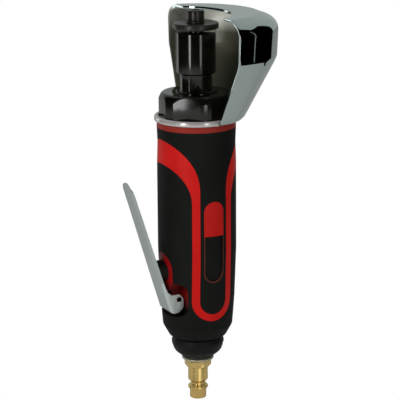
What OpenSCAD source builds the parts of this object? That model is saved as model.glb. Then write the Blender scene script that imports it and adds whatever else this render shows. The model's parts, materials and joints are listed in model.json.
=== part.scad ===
// Inline pneumatic cut-off grinder: a straight grip with a side lever, a half guard round the wheel
// seat at the top and a quick-connect plug at the bottom. Units are millimetres. The origin is the
// centre of the plug's end face, +Z runs up the tool's axis, the guard opens towards -X, where the
// lever is, and -Y is the side with the badge.

/* [Grip] */
// Outer radius of the rubber grip near its top
grip_r = 23.5; // [23.2:0.1:24]
// Outer radius of the rubber grip just above its lower shoulder
waist_r = 21.5; // [21.2:0.1:21.8]
// Thickness of the rubber over the hard housing
rubber_t = 2.2; // [1.8:0.1:2.4]
// Width of each coloured stripe, seen from the front
stripe_w = 4.3; // [3:0.1:5]
// Half width of the black panel between the two front stripes
panel_half = 8.4; // [7.6:0.1:9]

/* [Guard] */
// Outer radius of the wheel guard's drum
guard_r = 48.3; // [46:0.1:50]
// Sheet thickness of the wheel guard
guard_t = 1.8; // [1.5:0.1:2.2]
// Distance from the tool's axis to the guard's open front plane
guard_chord = 4.6; // [3:0.1:8]
// Radius of the clearance cut in the guard's top plate
guard_cut_r = 33; // [31:0.5:34]

/* [Spindle] */
// Radius of the arbor's thick part
arbor_r = 11.7; // [11.2:0.1:12.2]
// Width across the arbor's wrench flats
arbor_af = 17.2; // [16:0.1:18.4]
// Radius of the outer wheel flange
flange_r = 13.5; // [12.5:0.1:15]
// Width across the flats of the clamp nut
nut_af = 41.6; // [41:0.1:43]

/* [Lever] */
// Width of the throttle lever across its ears
lever_w = 16; // [14:0.5:16]
// Width of the throttle lever near its tip
lever_tip_w = 13; // [11:0.5:14]
// Sheet thickness of the throttle lever
lever_t = 1.3; // [1.1:0.1:1.6]
// Angle of the released lever from the tool's axis
lever_angle = 17.4; // [17:0.1:18]
// Length of the lever above its pin
lever_len = 79; // [60:0.5:85]

/* [Air inlet] */
// Radius of the plug's nose
plug_nose_r = 5; // [4.8:0.1:5.2]
// Radius of the plug's locking ridge and barrel
plug_barrel_r = 6; // [5.9:0.1:6.2]
// Radius of the plug's air passage
plug_bore_r = 3.5; // [2.5:0.1:3.8]
// Width across the flats of the plug's hexagon
plug_af = 14; // [13.6:0.1:15]

/* [Exhaust deflector] */
// Largest radius of the rear deflector
deflector_r = 15.8; // [15.6:0.1:16.4]
// Number of exhaust slots
slot_count = 3; // [1:1:5]

/* [Hidden] */
// clearance between assembled pieces, and between running ones
gap = 0.04;
run = 0.05;
e = 0.02;

// heights along the tool
seal_z0 = 24.5;
seal_z1 = 25.5;
inlet_z1 = 50;
deflector_z0 = 28.6;
deflector_z1 = 39.6;
rubber_top_z = 169.2;
body_top_z = 172.8;
nose_top_z = 185;
guard_base_t = 2.2;
nut_z0 = body_top_z + guard_base_t + gap;
nut_z1 = 189.8;
nut_r = 22.4;
neck_r = 9.4;
boss_r = 12.2;
arbor_z0 = 185.2;
boss_top_z = 190.4;
neck_top_z = 200.7;
arbor_top_z = 225.2;
flange_z0 = 227.3;
pilot_r = 4.95;
flange_z1 = 230.7;
washer_z1 = 231.9;
screw_top_z = 238;
guard_top_z = 236.5;
shoulder_r = 8;
guard_foot_x = 1.9;

// motor stack
motor_bore_r = 18;
stack_r = motor_bore_r - gap;
motor_floor_z = 92;
rear_plate_z = [93.5, 106];
liner_z = [106.04, 152.96];
front_plate_z = [153, 168.2];
rear_brg_z = [94, 101];
front_brg_z = [160, 168];
liner_bore_r = 14.8;
liner_off = 1.6;
rotor_r = 13.1;
shaft_r = 6;
tail_shaft_r = 4;
nose_r = 20;

// valve, along X at this height
valve_z = 83;
valve_bore_r = 6.65;
valve_bush_r = valve_bore_r - gap;
bush_x = [-16.5, -5];
valve_end_x = 12;
plunger_r = 3;

// lever pivot
pivot_x = -16.1;
pivot_z = 66.1;
pin_r = 1.5;
lever_v = 7.75;
flat_x = -12.2;
flat_z = [55.9, 77];
pocket_half = 17.2;
foot_z = 71.4;
pocket_corner = 4;
arch_half = 9.4;
arch_z = 85;
lug_half = 4.6;

// slim hexagon for corner-rounded shapes
function hex_r(af) = af / 2 / cos(30);

// points of a circular arc
function arc_pts(c, r, a0, a1, n) =
    [for (i = [0:n]) [c[0] + r * cos(a0 + (a1 - a0) * i / n), c[1] + r * sin(a0 + (a1 - a0) * i / n)]];

// outer line of the grip as [radius, height], bottom to top
outer_line = concat(
    [[15.0, 40.3], [16.7, 40.7], [17.4, 41.3]],
    arc_pts([16.6, 49.1], 4.5, -30, 0, 5),
    [[waist_r, 54], [waist_r + 0.9, 66], [grip_r, 95], [grip_r, 148], [grip_r - 0.4, 160]]
);

red = [0.78, 0.07, 0.05];
black = [0.07, 0.07, 0.06];
dark = [0.13, 0.13, 0.12];
chrome = [0.72, 0.76, 0.75];
steel = [0.6, 0.61, 0.62];
brassy = [0.76, 0.62, 0.34];

// solid of the whole grip, grown by d
module grip_solid(d, z_top) {
    rotate_extrude($fn = 96)
    polygon(concat(
        [[0, outer_line[0][1] - (d < 0 ? 0.3 : 0)]],
        [for (p = outer_line) if (p[1] < z_top) [p[0] + d, p[1]]],
        [[grip_r + d, z_top], [0, z_top]]
    ));
}

// edge of the stripes: vertical below, flaring out to the sides above
function flare(half, z0, rise, side) =
    [for (i = [0:10])
        let (t = 9 * i, phi = 90 - (90 - asin(half / grip_r)) * cos(t))
        [side * grip_r * sin(phi), z0 + rise * sin(t)]];

// region inside one edge of the stripes, in the plane seen from the front
module tulip(half, z0, rise) {
    wide = grip_r + 8;
    left = flare(half, z0, rise, -1);
    right = flare(half, z0, rise, 1);
    polygon(concat(
        [[-half, 66.9], [half, 66.9]],
        right,
        [[wide, z0 + rise], [wide, 180], [-wide, 180], [-wide, z0 + rise]],
        [for (i = [10:-1:0]) left[i]]
    ));
    translate([0, 66.9])
    circle(r = half, $fn = 64);
}

// the stripes' outline, grown by d
module stripe_outline(d) {
    difference() {
        tulip(panel_half + stripe_w + d, 127 - d, 21.9);
        tulip(panel_half - d, 134.5 + d, 28.7);
    }
}

// the stripes pushed right through the tool, front to back
module stripe_prism(d) {
    rotate([90, 0, 0])
    linear_extrude(height = 80, center = true)
    stripe_outline(d);
}

// arch round the valve, on the lever side, as an outline of width and height
module arch_prism(half, x0, x1) {
    translate([x0, 0, 0])
    rotate([90, 0, 90])
    linear_extrude(height = x1 - x0)
    union() {
        translate([0, arch_z])
        circle(r = half, $fn = 64);
        translate([-half, 64])
        square([2 * half, arch_z - 64]);
    }
}

// pocket for the lever's ears, with a flat floor and rounded corners
module ear_flat() {
    c = pocket_corner;
    low = 8;
    h = flat_z[1] - flat_z[0];
    translate([-40, 0, 0])
    rotate([90, 0, 90])
    linear_extrude(height = 40 + flat_x)
    union() {
        for (side = [-1, 1]) {
            translate([side * (pocket_half - c), flat_z[1] - c])
            circle(r = c, $fn = 32);
            translate([side * (pocket_half - low), flat_z[0] + low])
            circle(r = low, $fn = 48);
        }
        translate([-pocket_half, flat_z[0] + low])
        square([2 * pocket_half, h - c - low]);
        translate([low - pocket_half, flat_z[0]])
        square([2 * (pocket_half - low), h]);
        translate([c - pocket_half, flat_z[1] - 2 * c])
        square([2 * (pocket_half - c), 2 * c]);
    }
}

// ---- outside ----

module motor_housing() {
    color(red)
    difference() {
        union() {
            grip_solid(-rubber_t, body_top_z);
            // full-width ring at the top
            translate([0, 0, rubber_top_z])
            cylinder(r = grip_r, h = body_top_z - rubber_top_z, $fn = 96);
            // stripes flush with the rubber
            intersection() {
                grip_solid(0, rubber_top_z - 1);
                stripe_prism(0);
            }
            // collar round the valve
            intersection() {
                grip_solid(0, 120);
                arch_prism(arch_half, -30, -12);
            }
            // threaded nose
            translate([0, 0, body_top_z - e])
            cylinder(r = nose_r, h = nose_top_z - body_top_z + e, $fn = 96);
        }
        // flat for the lever's ears, leaving the pivot lug
        difference() {
            ear_flat();
            translate([-19.2, -lug_half, 50])
            cube([10, 2 * lug_half, 40]);
            translate([-40, -lug_half, foot_z])
            cube([40, 2 * lug_half, 20]);
            translate([-40, -valve_bore_r - 0.3, foot_z + 1.3])
            cube([40, 2 * valve_bore_r + 0.6, 20]);
        }
        // room for the lever's foot under the pivot
        translate([-40, -lever_w / 2 - 0.3, flat_z[0]])
        cube([40 - 19.2, lever_w + 0.6, foot_z - flat_z[0]]);
        // motor bore, open at the nose
        translate([0, 0, motor_floor_z])
        cylinder(r = motor_bore_r, h = 100, $fn = 96);
        // tail thread bore and inlet passage
        translate([0, 0, 30])
        cylinder(r = 8 + gap, h = 21, $fn = 64);
        cylinder(r = 4.5, h = valve_z, $fn = 48);
        // valve bore
        translate([-40, 0, valve_z])
        rotate([0, 90, 0])
        cylinder(r = valve_bore_r, h = 40 + valve_end_x, $fn = 64);
        // passage from valve to motor
        translate([-10.5, 0, valve_z])
        cylinder(r = 2.4, h = motor_floor_z - valve_z + 1, $fn = 32);
        // exhaust passages
        for (side = [-1, 1]) {
            translate([2, side * 11.3, 30])
            cylinder(r = 1.6, h = motor_floor_z - 29, $fn = 32);
        }
        // lever pin bore
        translate([pivot_x, 0, pivot_z])
        rotate([90, 0, 0])
        cylinder(r = pin_r + 0.02, h = 30, center = true, $fn = 32);
    }
}

module grip_overmould() {
    color(black)
    difference() {
        grip_solid(0, rubber_top_z - gap);
        grip_solid(gap - rubber_t, rubber_top_z + 1);
        stripe_prism(gap);
        arch_prism(arch_half + gap, -30, -12);
        ear_flat();
        // recess of the badge
        badge_prism(gap, 0.85);
        // open tail
        cylinder(r = 12.9, h = 60, $fn = 64);
    }
}

// capsule outline pushed in from the front to a shell of the given depth
module badge_prism(d, depth) {
    difference() {
        translate([0, 0, 0])
        rotate([90, 0, 0])
        linear_extrude(height = 40)
        union() {
            for (z = [badge_z[0], badge_z[1]]) {
                translate([0, z])
                circle(r = badge_half + d, $fn = 48);
            }
            translate([-badge_half - d, badge_z[0]])
            square([2 * (badge_half + d), badge_z[1] - badge_z[0]]);
        }
        grip_solid(-depth, 160);
    }
}
badge_half = 6.3;
badge_z = [84.5, 121.5];

module badge() {
    color(red)
    difference() {
        intersection() {
            badge_prism(0, 0.8);
            grip_solid(0.1, 160);
        }
        // open lower field, so only an outline is left there
        translate([0, 0, 0])
        rotate([90, 0, 0])
        linear_extrude(height = 40)
        union() {
            translate([0, badge_z[0]])
            circle(r = badge_half - 0.7, $fn = 48);
            translate([-badge_half + 0.7, badge_z[0]])
            square([2 * badge_half - 1.4, 22.4]);
        }
    }
}

module exhaust_deflector() {
    r = deflector_r;
    color(black)
    difference() {
        rotate_extrude($fn = 96)
        polygon(concat(
            [[8 + run, deflector_z0], [11.3, deflector_z0]],
            arc_pts([r - 7.6, deflector_z0 + 7.6], 7.6, -50, 0, 6),
            arc_pts([r - 2.2, deflector_z1 - 3.2], 2.2, 0, 60, 3),
            [[15.0, deflector_z1], [13.6, deflector_z1], [13.6, deflector_z0 + 4.5],
            [9.4, deflector_z0 + 2.4], [9.4, deflector_z1], [8 + run, deflector_z1]]
        ));
        // exhaust slots away from the lever
        for (i = [0:slot_count - 1]) {
            rotate([0, 0, (i - (slot_count - 1) / 2) * 32])
            translate([12, -3, deflector_z0 + 5.4])
            cube([8, 6, 2]);
        }
    }
}

module muffler_felt() {
    color([0.55, 0.5, 0.42])
    translate([0, 0, deflector_z0 + 4.7])
    difference() {
        cylinder(r = 13.3, h = 5.2, $fn = 64);
        translate([0, 0, -1])
        cylinder(r = 9.6, h = 9, $fn = 64);
    }
}

module inlet_bushing() {
    color(dark)
    difference() {
        union() {
            translate([0, 0, seal_z1 + gap])
            cylinder(r1 = 9.2, r2 = 9.7, h = 0.6, $fn = 64);
            translate([0, 0, seal_z1 + gap + 0.6])
            cylinder(r = 9.7, h = 1.9, $fn = 64);
            translate([0, 0, 28])
            cylinder(r = 8, h = inlet_z1 - 28, $fn = 64);
        }
        translate([0, 0, 20])
        cylinder(r = 6.55, h = 14.4, $fn = 48);
        cylinder(r = 4.5, h = 60, $fn = 48);
    }
}

module sealing_washer() {
    color(steel)
    translate([0, 0, seal_z0 + gap])
    difference() {
        cylinder(r = 9.6, h = seal_z1 - seal_z0 - gap, $fn = 64);
        translate([0, 0, -1])
        cylinder(r = 6.7, h = 4, $fn = 48);
    }
}

module inlet_screen() {
    color(steel)
    translate([0, 0, 33.4])
    difference() {
        cylinder(r = 6.45, h = 0.7, $fn = 48);
        for (i = [-2:2]) {
            for (j = [-2:2]) {
                if (i * i + j * j < 6) {
                    translate([i * 1.5, j * 1.5, -1])
                    cylinder(r = 0.5, h = 3, $fn = 16);
                }
            }
        }
    }
}

module air_plug() {
    color(brassy)
    difference() {
        union() {
            rotate_extrude($fn = 64)
            polygon([
                [0, 0], [plug_nose_r, 0], [plug_nose_r, 4.9], [plug_barrel_r - 0.2, 6.2],
                [plug_barrel_r + 0.1, 6.6], [plug_barrel_r + 0.1, 7.6], [plug_barrel_r - 0.2, 8],
                [4.6, 8.6], [4.5, 9.9], [5, 10.8], [plug_barrel_r - 0.4, 11.2],
                [plug_barrel_r, 11.7], [plug_barrel_r, 18.4], [plug_barrel_r - 0.3, 19.2],
                [6.5, 20], [6.5, 33.2], [0, 33.2]
            ]);
            // hexagon with chamfered corners
            intersection() {
                translate([0, 0, 19.4])
                cylinder(r = hex_r(plug_af), h = seal_z0 - 19.4, $fn = 6);
                translate([0, 0, 19.4])
                cylinder(r1 = plug_af / 2 - 0.2, r2 = plug_af / 2 + 3.2, h = 5.2, $fn = 64);
            }
        }
        translate([0, 0, -1])
        cylinder(r = plug_bore_r, h = 40, $fn = 48);
    }
}

// ---- head ----

// half guard: cone, drum and top plate, cut open at the front
module wheel_guard() {
    t = guard_t;
    r = guard_r;
    color(chrome)
    difference() {
        union() {
            difference() {
                rotate_extrude($fn = 128)
                polygon(concat(
                    [[24.2, 173.3], [25.4, 173.6], [28.4, 175.3], [29.8, 177.6], [r - 1.5, 210.4]],
                    arc_pts([r - 4.1, 212], 3, -24, 0, 3),
                    arc_pts([r - shoulder_r, guard_top_z - 10], shoulder_r, 0, 80, 8),
                    [[36, guard_top_z], [10, guard_top_z], [10, guard_top_z - t], [35.8, guard_top_z - t]],
                    arc_pts([r - shoulder_r, guard_top_z - 10], shoulder_r - t, 80, 0, 7),
                    arc_pts([r - 4.1, 212], 3 - t, 0, -24, 2),
                    [[r - 3.5, 210.3], [28.3, 178.6], [27.2, 176.9], [24.2, 175]]
                ));
                // open front: upright above, leaning back towards the axis down the cone
                rotate([90, 0, 0])
                linear_extrude(height = 120, center = true)
                polygon([
                    [-60, 160], [guard_foot_x, 160], [guard_foot_x, 175], [guard_chord, 208],
                    [guard_chord, 250], [-60, 250]
                ]);
                // wheel clearance in the top plate
                translate([-13, 0, guard_top_z - 4])
                cylinder(r = guard_cut_r, h = 8, $fn = 96);
            }
            // base ring
            translate([0, 0, body_top_z + gap])
            cylinder(r = 24.9, h = guard_base_t - gap, $fn = 96);
        }
        translate([0, 0, 160])
        cylinder(r = nose_r + run, h = 20, $fn = 96);
    }
}

module clamp_nut() {
    color(dark)
    rotate([0, 0, -11])
    difference() {
        intersection() {
            translate([0, 0, nut_z0])
            rotate([0, 0, 30])
            cylinder(r = hex_r(nut_af), h = nut_z1 - nut_z0, $fn = 6);
            translate([0, 0, nut_z0])
            cylinder(r = nut_r, h = nut_z1 - nut_z0, $fn = 96);
            // rounded top edge
            rotate_extrude($fn = 96)
            polygon([
                [0, nut_z0 - 1], [nut_r + 1, nut_z0 - 1], [nut_r + 1, nut_z1 - 4.8],
                [nut_r - 1.5, nut_z1 - 0.8], [nut_r - 2.4, nut_z1], [0, nut_z1]
            ]);
        }
        translate([0, 0, nut_z0 - 1])
        cylinder(r = nose_r + gap, h = nose_top_z + 0.3 - nut_z0 + 1, $fn = 96);
        translate([0, 0, nut_z0])
        cylinder(r = boss_r + 0.5, h = 30, $fn = 64);
    }
}

module bearing_cap() {
    color(dark)
    difference() {
        translate([0, 0, 169.3])
        cylinder(r = stack_r, h = 15.3, $fn = 96);
        translate([0, 0, 160])
        cylinder(r = 7.2, h = 40, $fn = 48);
        translate([0, 0, 168])
        cylinder(r = 13.4, h = 12.6, $fn = 64);
        for (a = [0, 180]) {
            rotate([0, 0, a])
            translate([15.2, 0, 181])
            cylinder(r = 1.5, h = 8, $fn = 24);
        }
    }
}

module arbor() {
    color(dark)
    difference() {
        union() {
            translate([0, 0, arbor_z0])
            cylinder(r = boss_r, h = boss_top_z - arbor_z0, $fn = 64);
            translate([0, 0, boss_top_z - 1])
            cylinder(r = neck_r, h = neck_top_z - boss_top_z + 1.1, $fn = 64);
            translate([0, 0, neck_top_z])
            cylinder(r1 = arbor_r - 0.6, r2 = arbor_r, h = 0.6, $fn = 64);
            translate([0, 0, neck_top_z + 0.6])
            cylinder(r = arbor_r, h = arbor_top_z - neck_top_z - 1.1, $fn = 64);
            translate([0, 0, arbor_top_z - 0.5])
            cylinder(r1 = arbor_r, r2 = arbor_r - 0.5, h = 0.5, $fn = 64);
            // pilot that centres the wheel and the flange
            translate([0, 0, arbor_top_z - 1])
            cylinder(r = pilot_r, h = flange_z0 - arbor_top_z + 3.6, $fn = 48);
        }
        // wrench flats
        rotate([0, 0, -27])
        for (side = [-1, 1]) {
            translate([-20, side * (arbor_af / 2 + 10) - 10, boss_top_z])
            cube([40, 20, neck_top_z - boss_top_z]);
        }
        // hole for the holding pin
        rotate([0, 0, -27])
        translate([0, 0, 188.9])
        rotate([90, 0, 0])
        cylinder(r = 2, h = 20, $fn = 32);
        // thread for the rotor shaft and thread for the wheel screw
        translate([0, 0, arbor_z0 - 1])
        cylinder(r = 5 + gap, h = 18.5, $fn = 48);
        translate([0, 0, 208])
        cylinder(r = 3 + gap, h = 30, $fn = 32);
    }
}

module outer_flange() {
    color(dark)
    difference() {
        union() {
            translate([0, 0, flange_z0])
            cylinder(r1 = flange_r - 0.4, r2 = flange_r, h = 0.4, $fn = 64);
            translate([0, 0, flange_z0 + 0.4])
            cylinder(r = flange_r, h = flange_z1 - flange_z0 - 0.8, $fn = 64);
            translate([0, 0, flange_z1 - 0.4])
            cylinder(r1 = flange_r, r2 = flange_r - 0.4, h = 0.4, $fn = 64);
        }
        translate([0, 0, flange_z0 - 1])
        cylinder(r = pilot_r + gap, h = 10, $fn = 48);
    }
}

module lock_washer() {
    color(dark)
    difference() {
        translate([0, 0, flange_z1 + gap])
        cylinder(r = 5.35, h = washer_z1 - flange_z1 - 2 * gap, $fn = 48);
        translate([0, 0, 220])
        cylinder(r = 3.2, h = 30, $fn = 32);
        // split of the spring washer
        rotate([0, 0, 60])
        translate([2, -0.4, 220])
        cube([6, 0.8, 30]);
    }
}

module clamp_screw() {
    color(dark)
    difference() {
        union() {
            translate([0, 0, washer_z1])
            cylinder(r = 5, h = 5.5, $fn = 48);
            translate([0, 0, washer_z1 + 5.5])
            cylinder(r1 = 5, r2 = 4.4, h = screw_top_z - washer_z1 - 5.5, $fn = 48);
            translate([0, 0, 210])
            cylinder(r = 3, h = 24, $fn = 32);
        }
        rotate([0, 0, 10])
        translate([0, 0, screw_top_z - 3.4])
        cylinder(r = hex_r(5), h = 8, $fn = 6);
    }
}

// ---- throttle ----

// lever in its own frame: pin at the origin, y up the lever and x outwards
module lever_side() {
    difference() {
        union() {
            circle(r = 3, $fn = 48);
            polygon([
                [-1.2, 2.75], [3.4, 4.1], [lever_v - lever_t - 0.6, 7.5], [lever_v - lever_t, 9.6],
                [lever_v, 9.6], [lever_v, -3.4], [lever_v - 0.8, -6.2],
                [lever_v - 3, -7.4], [2.2, -8], [-0.8, -6.4], [-2.9, -0.9]
            ]);
        }
        circle(r = pin_r + run, $fn = 32);
    }
}

module throttle_lever() {
    color(chrome)
    translate([pivot_x, 0, pivot_z])
    rotate([0, -lever_angle, 0])
    difference() {
        union() {
            // two ears
            for (side = [-1, 1]) {
                translate([0, side * (lever_w / 2 - lever_t / 2) + lever_t / 2, 0])
                rotate([90, 0, 0])
                linear_extrude(height = lever_t)
                mirror([1, 0])
                lever_side();
            }
            // web with a rounded tip
            translate([-lever_v, 0, 0])
            rotate([90, 0, 90])
            linear_extrude(height = lever_t)
            polygon([
                [-lever_w / 2, -3.4], [lever_w / 2, -3.4], [lever_w / 2, 9],
                [lever_tip_w / 2, lever_len - 9], [lever_tip_w / 2 - 0.6, lever_len - 5.5],
                [lever_tip_w / 2 - 2, lever_len - 2.6], [lever_tip_w / 2 - 4.2, lever_len - 0.6],
                [0, lever_len], [4.2 - lever_tip_w / 2, lever_len - 0.6],
                [2 - lever_tip_w / 2, lever_len - 2.6], [0.6 - lever_tip_w / 2, lever_len - 5.5],
                [-lever_tip_w / 2, lever_len - 9], [-lever_w / 2, 9]
            ]);
        }
    }
}

module lever_pin() {
    color(dark)
    translate([pivot_x, 0, pivot_z])
    rotate([90, 0, 0])
    cylinder(r = pin_r, h = lever_w + 0.5, center = true, $fn = 32);
}

module valve_bushing() {
    color(black)
    translate([0, 0, valve_z])
    difference() {
        union() {
            translate([bush_x[0] + 0.5, 0, 0])
            rotate([0, 90, 0])
            cylinder(r = valve_bush_r, h = bush_x[1] - bush_x[0] - 0.5, $fn = 64);
            translate([bush_x[0], 0, 0])
            rotate([0, 90, 0])
            cylinder(r1 = valve_bush_r - 0.5, r2 = valve_bush_r, h = 0.5, $fn = 64);
        }
        // plunger guide, air chamber and seat
        translate([-40, 0, 0])
        rotate([0, 90, 0])
        cylinder(r = plunger_r + run, h = 30, $fn = 48);
        translate([-13.5, 0, 0])
        rotate([0, 90, 0])
        cylinder(r = 4.6, h = 7, $fn = 48);
        translate([-10, 0, 0])
        rotate([0, 90, 0])
        cylinder(r = 3.4, h = 10, $fn = 48);
        // port to the motor
        translate([-10.5, 0, 0])
        cylinder(r = 2.2, h = 10, $fn = 32);
        // groove of the O-ring
        translate([-15.9, 0, 0])
        rotate([0, 90, 0])
        difference() {
            cylinder(r = 9, h = 1.6, $fn = 48);
            translate([0, 0, -1])
            cylinder(r = valve_bore_r - 1.55, h = 4, $fn = 48);
        }
    }
}

module valve_o_ring() {
    color([0.1, 0.1, 0.1])
    translate([-15.1, 0, valve_z])
    rotate([0, 90, 0])
    rotate_extrude($fn = 64)
    translate([valve_bore_r - 0.77, 0])
    circle(r = 0.7, $fn = 24);
}

// where the released lever's inner face meets the lower edge of the valve's button
button_r = valve_bore_r - 0.1;
button_tilt = 15;
button_x = pivot_x - (lever_v - lever_t) / cos(lever_angle)
    - (valve_z - button_r - pivot_z) * tan(lever_angle) + 0.12;

module valve_plunger() {
    color(black)
    translate([0, 0, valve_z])
    union() {
        // button with a slanted end face
        difference() {
            translate([button_x - 6, 0, 0])
            rotate([0, 90, 0])
            cylinder(r = button_r, h = -21.5 - button_x + 6, $fn = 64);
            translate([button_x, 0, -button_r])
            rotate([0, -button_tilt, 0])
            translate([-20, -20, -20])
            cube([20, 40, 60]);
        }
        translate([-21.6, 0, 0])
        rotate([0, 90, 0])
        cylinder(r = plunger_r, h = 7.7, $fn = 48);
    }
}

module valve_poppet() {
    color(brassy)
    translate([0, 0, valve_z])
    rotate([0, 90, 0])
    union() {
        translate([0, 0, -13.86])
        cylinder(r = 1.4, h = 9.5, $fn = 32);
        translate([0, 0, -4.95])
        cylinder(r = 5.5, h = 2, $fn = 48);
        translate([0, 0, -3])
        cylinder(r = 3, h = 2.5, $fn = 32);
    }
}

// coil spring along X, as rings joined by a helix
module valve_spring() {
    turns = 5;
    n = 20;
    m = 8;
    len = 8.6;
    cr = 4.1;
    wr = 0.45;
    steps = turns * n;
    pts = [for (i = [0:steps]) for (j = [0:m - 1])
        let (a = 360 * i / n, b = 360 * j / m, rr = cr + wr * cos(b))
        [len * i / steps + wr * sin(b), rr * cos(a), rr * sin(a)]];
    sides = [for (i = [0:steps - 1]) for (j = [0:m - 1])
        let (k = (j + 1) % m)
        [i * m + j, i * m + k, (i + 1) * m + k, (i + 1) * m + j]];
    color(steel)
    translate([-2.4, 0, valve_z])
    polyhedron(
        points = pts,
        faces = concat(
            [[for (j = [m - 1:-1:0]) j]],
            [[for (j = [0:m - 1]) steps * m + j]],
            sides
        )
    );
}

// ---- motor ----

module rear_end_plate() {
    color(steel)
    difference() {
        translate([0, 0, rear_plate_z[0]])
        cylinder(r = stack_r, h = rear_plate_z[1] - rear_plate_z[0], $fn = 96);
        translate([0, 0, 90])
        cylinder(r = 11 + gap, h = 11.1, $fn = 64);
        cylinder(r = tail_shaft_r + 0.3, h = 200, $fn = 48);
        // air inlet and exhaust holes
        for (a = [160, 180, 200]) {
            rotate([0, 0, a])
            translate([14, 0, 90])
            cylinder(r = 1.8, h = 30, $fn = 24);
        }
    }
}

module motor_liner() {
    color(steel)
    difference() {
        translate([0, 0, liner_z[0]])
        cylinder(r = stack_r, h = liner_z[1] - liner_z[0], $fn = 96);
        translate([liner_off, 0, 100])
        cylinder(r = liner_bore_r, h = 60, $fn = 96);
        // exhaust ports
        for (i = [-2:2]) {
            translate([0, 0, 129.5 + i * 7])
            rotate([0, 90, 0])
            cylinder(r = 1.5, h = 30, $fn = 24);
        }
    }
}

module rotor() {
    color(steel)
    difference() {
        union() {
            translate([0, 0, liner_z[0] + 0.05])
            cylinder(r = rotor_r, h = liner_z[1] - liner_z[0] - 0.1, $fn = 96);
            translate([0, 0, rear_brg_z[0] - 0.4])
            cylinder(r = tail_shaft_r, h = 14, $fn = 48);
            translate([0, 0, liner_z[1] - 1])
            cylinder(r = shaft_r, h = 185 - liner_z[1] + 1, $fn = 48);
            translate([0, 0, 184.9])
            cylinder(r = 5, h = 16.8, $fn = 48);
        }
        for (i = [0:4]) {
            rotate([0, 0, 72 * i])
            translate([6.6, -1.25, 100])
            cube([10, 2.5, 60]);
        }
    }
}

module rotor_vanes() {
    color([0.45, 0.32, 0.18])
    for (i = [0:4]) {
        rotate([0, 0, 72 * i])
        translate([6.8, -1.2, liner_z[0] + 0.15])
        cube([6.2, 2.4, liner_z[1] - liner_z[0] - 0.3]);
    }
}

module front_end_plate() {
    color(steel)
    difference() {
        translate([0, 0, front_plate_z[0]])
        cylinder(r = stack_r, h = front_plate_z[1] - front_plate_z[0], $fn = 96);
        translate([0, 0, front_brg_z[0] - 0.1])
        cylinder(r = 14 + gap, h = 20, $fn = 64);
        translate([0, 0, 150])
        cylinder(r = shaft_r + 0.4, h = 20, $fn = 48);
    }
}

// rings of a ball bearing: outer, inner and balls
module outer_race(ro, rb, z0, z1) {
    difference() {
        translate([0, 0, z0])
        cylinder(r = ro, h = z1 - z0, $fn = 64);
        translate([0, 0, z0 - 1])
        cylinder(r = rb[0] + rb[1] * 0.55, h = z1 - z0 + 2, $fn = 64);
        translate([0, 0, (z0 + z1) / 2])
        rotate_extrude($fn = 64)
        translate([rb[0], 0])
        circle(r = rb[1] + run, $fn = 24);
    }
}
module inner_race(ri, rb, z0, z1) {
    difference() {
        translate([0, 0, z0])
        cylinder(r = rb[0] - rb[1] * 0.55, h = z1 - z0, $fn = 64);
        translate([0, 0, z0 - 1])
        cylinder(r = ri + 0.02, h = z1 - z0 + 2, $fn = 48);
        translate([0, 0, (z0 + z1) / 2])
        rotate_extrude($fn = 64)
        translate([rb[0], 0])
        circle(r = rb[1] + run, $fn = 24);
    }
}
module ball_ring(n, rb, z) {
    for (i = [0:n - 1]) {
        rotate([0, 0, 360 * i / n])
        translate([rb[0], 0, z])
        sphere(r = rb[1], $fn = 24);
    }
}
front_balls = [10, 2.4];
rear_balls = [7.5, 1.9];

module front_outer_race() {
    color(steel)
    outer_race(14, front_balls, front_brg_z[0], front_brg_z[1]);
}
module front_inner_race() {
    color(steel)
    inner_race(shaft_r, front_balls, front_brg_z[0], front_brg_z[1]);
}
module front_ball_set() {
    color(chrome)
    ball_ring(8, front_balls, (front_brg_z[0] + front_brg_z[1]) / 2);
}
module rear_outer_race() {
    color(steel)
    outer_race(11, rear_balls, rear_brg_z[0], rear_brg_z[1]);
}
module rear_inner_race() {
    color(steel)
    inner_race(tail_shaft_r, rear_balls, rear_brg_z[0], rear_brg_z[1]);
}
module rear_ball_set() {
    color(chrome)
    ball_ring(7, rear_balls, (rear_brg_z[0] + rear_brg_z[1]) / 2);
}

module spring_washer() {
    color(steel)
    translate([0, 0, 168.3])
    difference() {
        cylinder(r = 17.5, h = 0.9, $fn = 64);
        translate([0, 0, -1])
        cylinder(r = 12.8, h = 4, $fn = 64);
    }
}

motor_housing();
grip_overmould();
badge();
wheel_guard();
clamp_nut();
arbor();
outer_flange();
lock_washer();
clamp_screw();
throttle_lever();
lever_pin();
valve_bushing();
valve_o_ring();
valve_plunger();
valve_poppet();
valve_spring();
exhaust_deflector();
muffler_felt();
inlet_bushing();
inlet_screen();
sealing_washer();
air_plug();
rear_end_plate();
motor_liner();
rotor();
rotor_vanes();
front_end_plate();
front_outer_race();
front_inner_race();
front_ball_set();
rear_outer_race();
rear_inner_race();
rear_ball_set();
spring_washer();
bearing_cap();
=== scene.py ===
import json
import math

import bmesh
import bpy
import numpy as np
from mathutils import Matrix, Vector


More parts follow.
